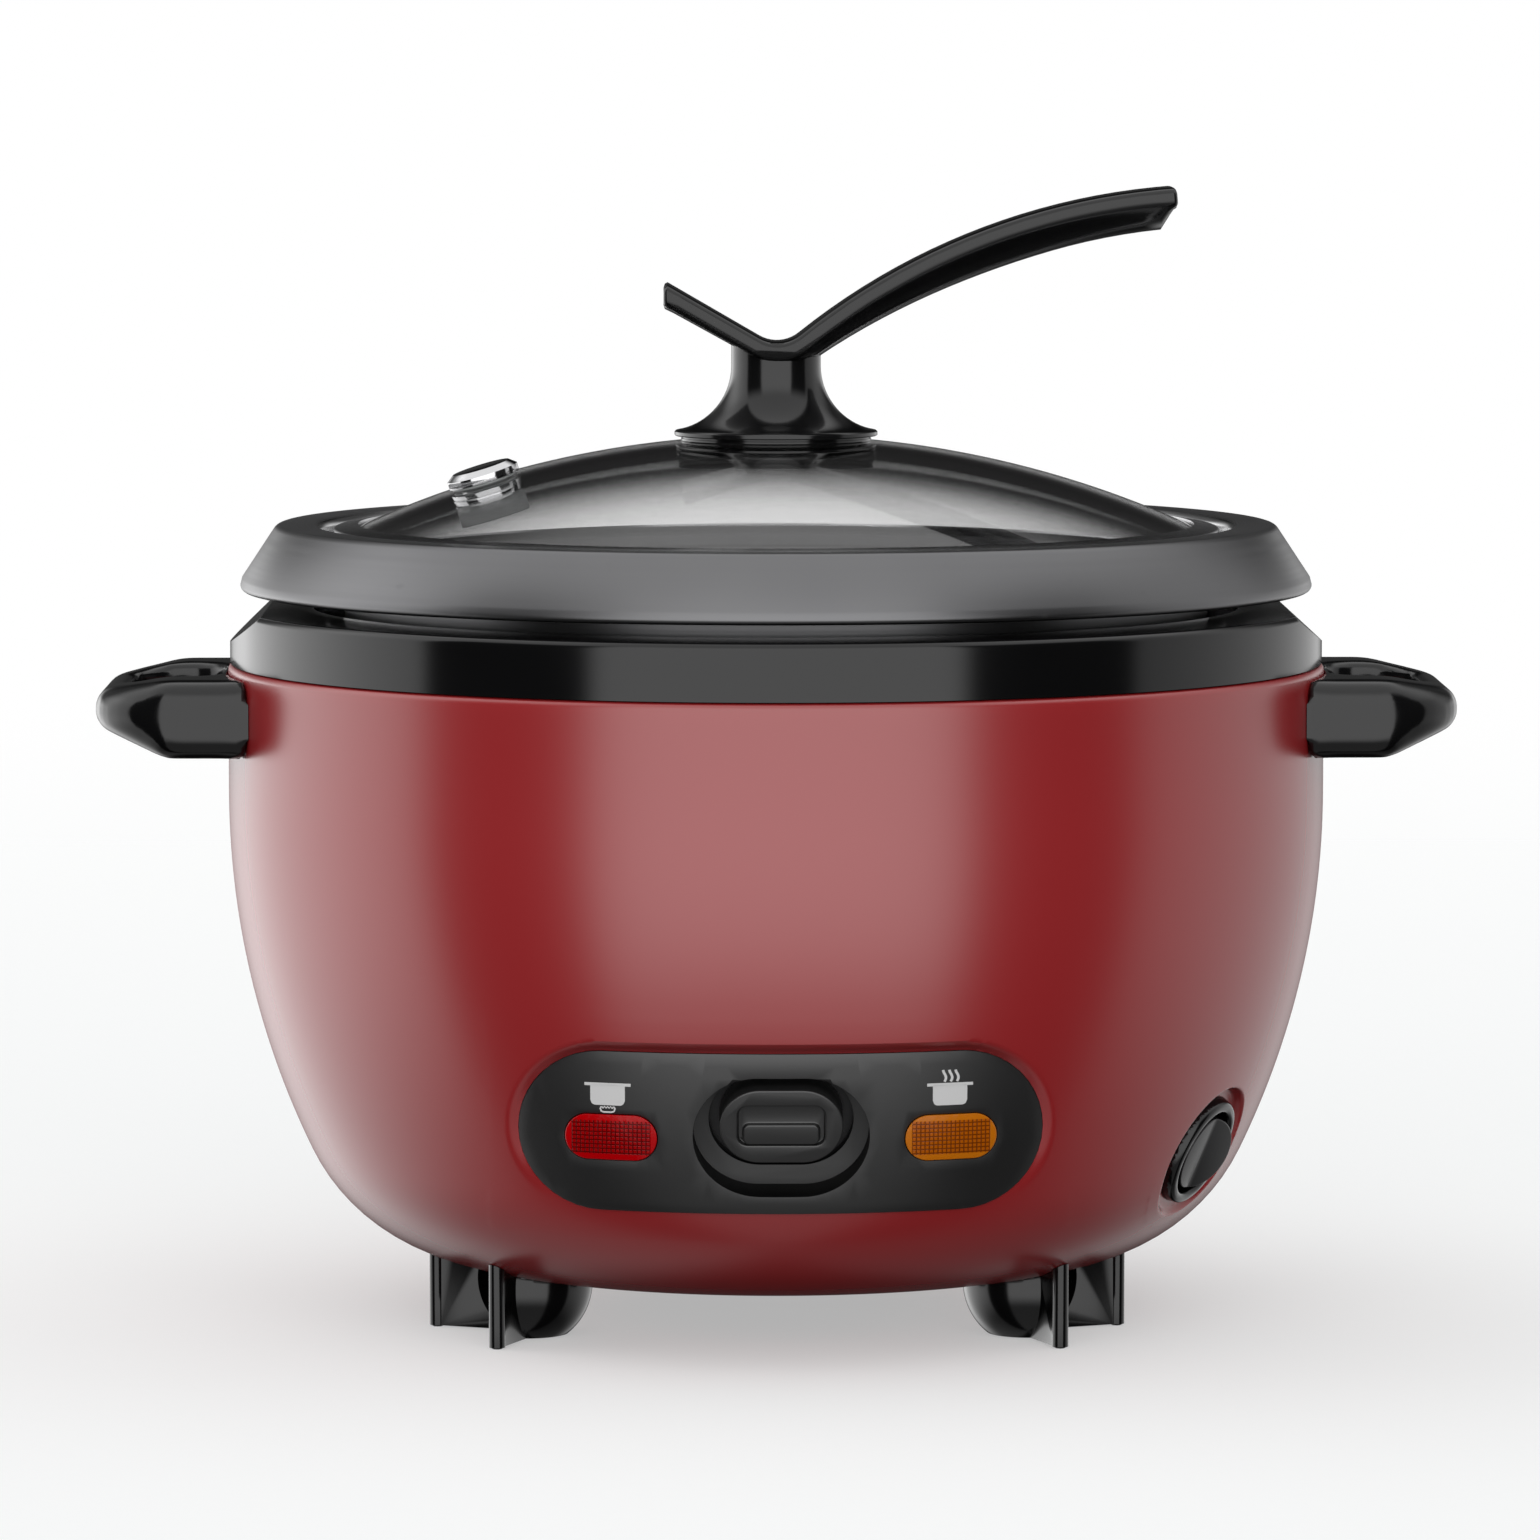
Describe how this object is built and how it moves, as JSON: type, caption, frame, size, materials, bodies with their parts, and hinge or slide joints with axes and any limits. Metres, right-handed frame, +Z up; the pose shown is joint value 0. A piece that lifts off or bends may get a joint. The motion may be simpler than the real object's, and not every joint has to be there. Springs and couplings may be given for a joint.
{
  "type": "rice cooker",
  "caption": "Round rice cooker with a lift-out pot, a standing glass lid with a long swept grip, side handles, a press-down cook button and a rear rocker switch.",
  "frame": {"origin": "on the table, under the middle of the round body", "axes": "+Z up, -Y to the front with the button, +X along the side handles towards the end of the long lid grip"},
  "size_m": [0.2706, 0.2192, 0.226],
  "materials": {
    "red_shell": "gloss",
    "black_plastic": "gloss",
    "rocker_plastic": "gloss",
    "inner_plastic": "matte",
    "pot_metal": "satin",
    "steel": "satin",
    "sheet_steel": "satin",
    "cast_plate": "satin",
    "heater_sheath": "matte",
    "magnet": "matte",
    "red_lens": "gloss",
    "amber_lens": "gloss",
    "lamp_glass": "gloss",
    "brass": "satin",
    "pale_plastic": "matte",
    "dome_glass": "gloss",
    "vent_metal": "gloss",
    "vent_collar": "gloss",
    "seal": "matte"
  },
  "bodies": {
    "cooker_body": {"outer_shell": "red_shell", "upper_ring": "black_plastic", "heat_shield": "sheet_steel", "bottom_cover": "inner_plastic", "cover_screws": "steel", "foot_left": "black_plastic", "foot_right": "black_plastic", "foot_rear": "black_plastic", "foot_screws": "steel", "side_handle_left": "black_plastic", "side_handle_right": "black_plastic", "handle_screws": "steel", "control_panel": "black_plastic", "cook_lamp_lens": "red_lens", "warm_lamp_lens": "amber_lens", "lamp_bulbs": "lamp_glass", "lamp_holders": "pale_plastic", "switch_bezel": "black_plastic", "power_inlet": "inner_plastic", "inlet_pins": "brass", "terminal_block": "pale_plastic", "heating_plate": "cast_plate", "heater_tube": "heater_sheath", "plate_spacers": "sheet_steel", "plate_screws": "steel", "shield_legs": "sheet_steel", "sensor_guide": "steel", "sensor_spring": "steel", "thermal_fuse": "pale_plastic", "lever_bracket": "sheet_steel", "lever_pin": "steel", "contact_switch": "inner_plastic"},
    "cook_button": {"cook_button": "black_plastic", "button_carriage": "inner_plastic"},
    "cook_lever": {"switch_lever": "sheet_steel"},
    "magnet_lift": {"magnet_rod": "steel", "rod_magnet": "magnet"},
    "sensor": {"sensor_cap": "steel", "sensor_magnet": "magnet"},
    "power_rocker": {"power_rocker": "rocker_plastic"},
    "pot": {"inner_pot": "pot_metal"},
    "lid": {"glass_dome": "dome_glass", "lid_rim": "steel", "vent_grommet": "vent_collar", "vent_cap": "vent_metal", "knob_seal": "seal", "clamp_washer": "steel", "lid_screw": "steel", "lid_stem": "black_plastic", "lid_grip": "black_plastic"}
  },
  "joints": [
    {"name": "pot_lift", "type": "slide", "parent": "cooker_body", "child": "pot", "axis": [0, 0, 1], "range_m": [0, 0.12]},
    {"name": "lid_lift", "type": "slide", "parent": "pot", "child": "lid", "axis": [0, 0, 1], "range_m": [0, 0.06]},
    {"name": "button_slide", "type": "slide", "parent": "cooker_body", "child": "cook_button", "axis": [0, 0.3421, -0.9397], "range_m": [0, 0.0024], "stiffness_N_per_m": 300, "springref_m": -0.001},
    {"name": "lever_turn", "type": "hinge", "parent": "cooker_body", "child": "cook_lever", "pos_m": [0, -0.05, 0.028], "axis": [1, 0, 0], "range_deg": [0, 3.78]},
    {"name": "magnet_slide", "type": "slide", "parent": "cooker_body", "child": "magnet_lift", "axis": [0, 0, 1], "range_m": [0, 0.0033]},
    {"name": "sensor_press", "type": "slide", "parent": "cooker_body", "child": "sensor", "axis": [0, 0, 1], "range_m": [-0.0015, 0], "stiffness_N_per_m": 250, "springref_m": 0.003, "deforming": ["sensor_spring"]},
    {"name": "rocker_turn", "type": "hinge", "parent": "cooker_body", "child": "power_rocker", "pos_m": [0.0822, -0.04316, 0.03791], "axis": [-0.366, 0.1921, -0.9106], "range_deg": [-18, 0]}
  ],
  "couplings": [
    {"joint": "lever_turn", "follows": "button_slide", "rad_per_m": 27.293},
    {"joint": "magnet_slide", "follows": "button_slide", "ratio": 1.3646}
  ]
}
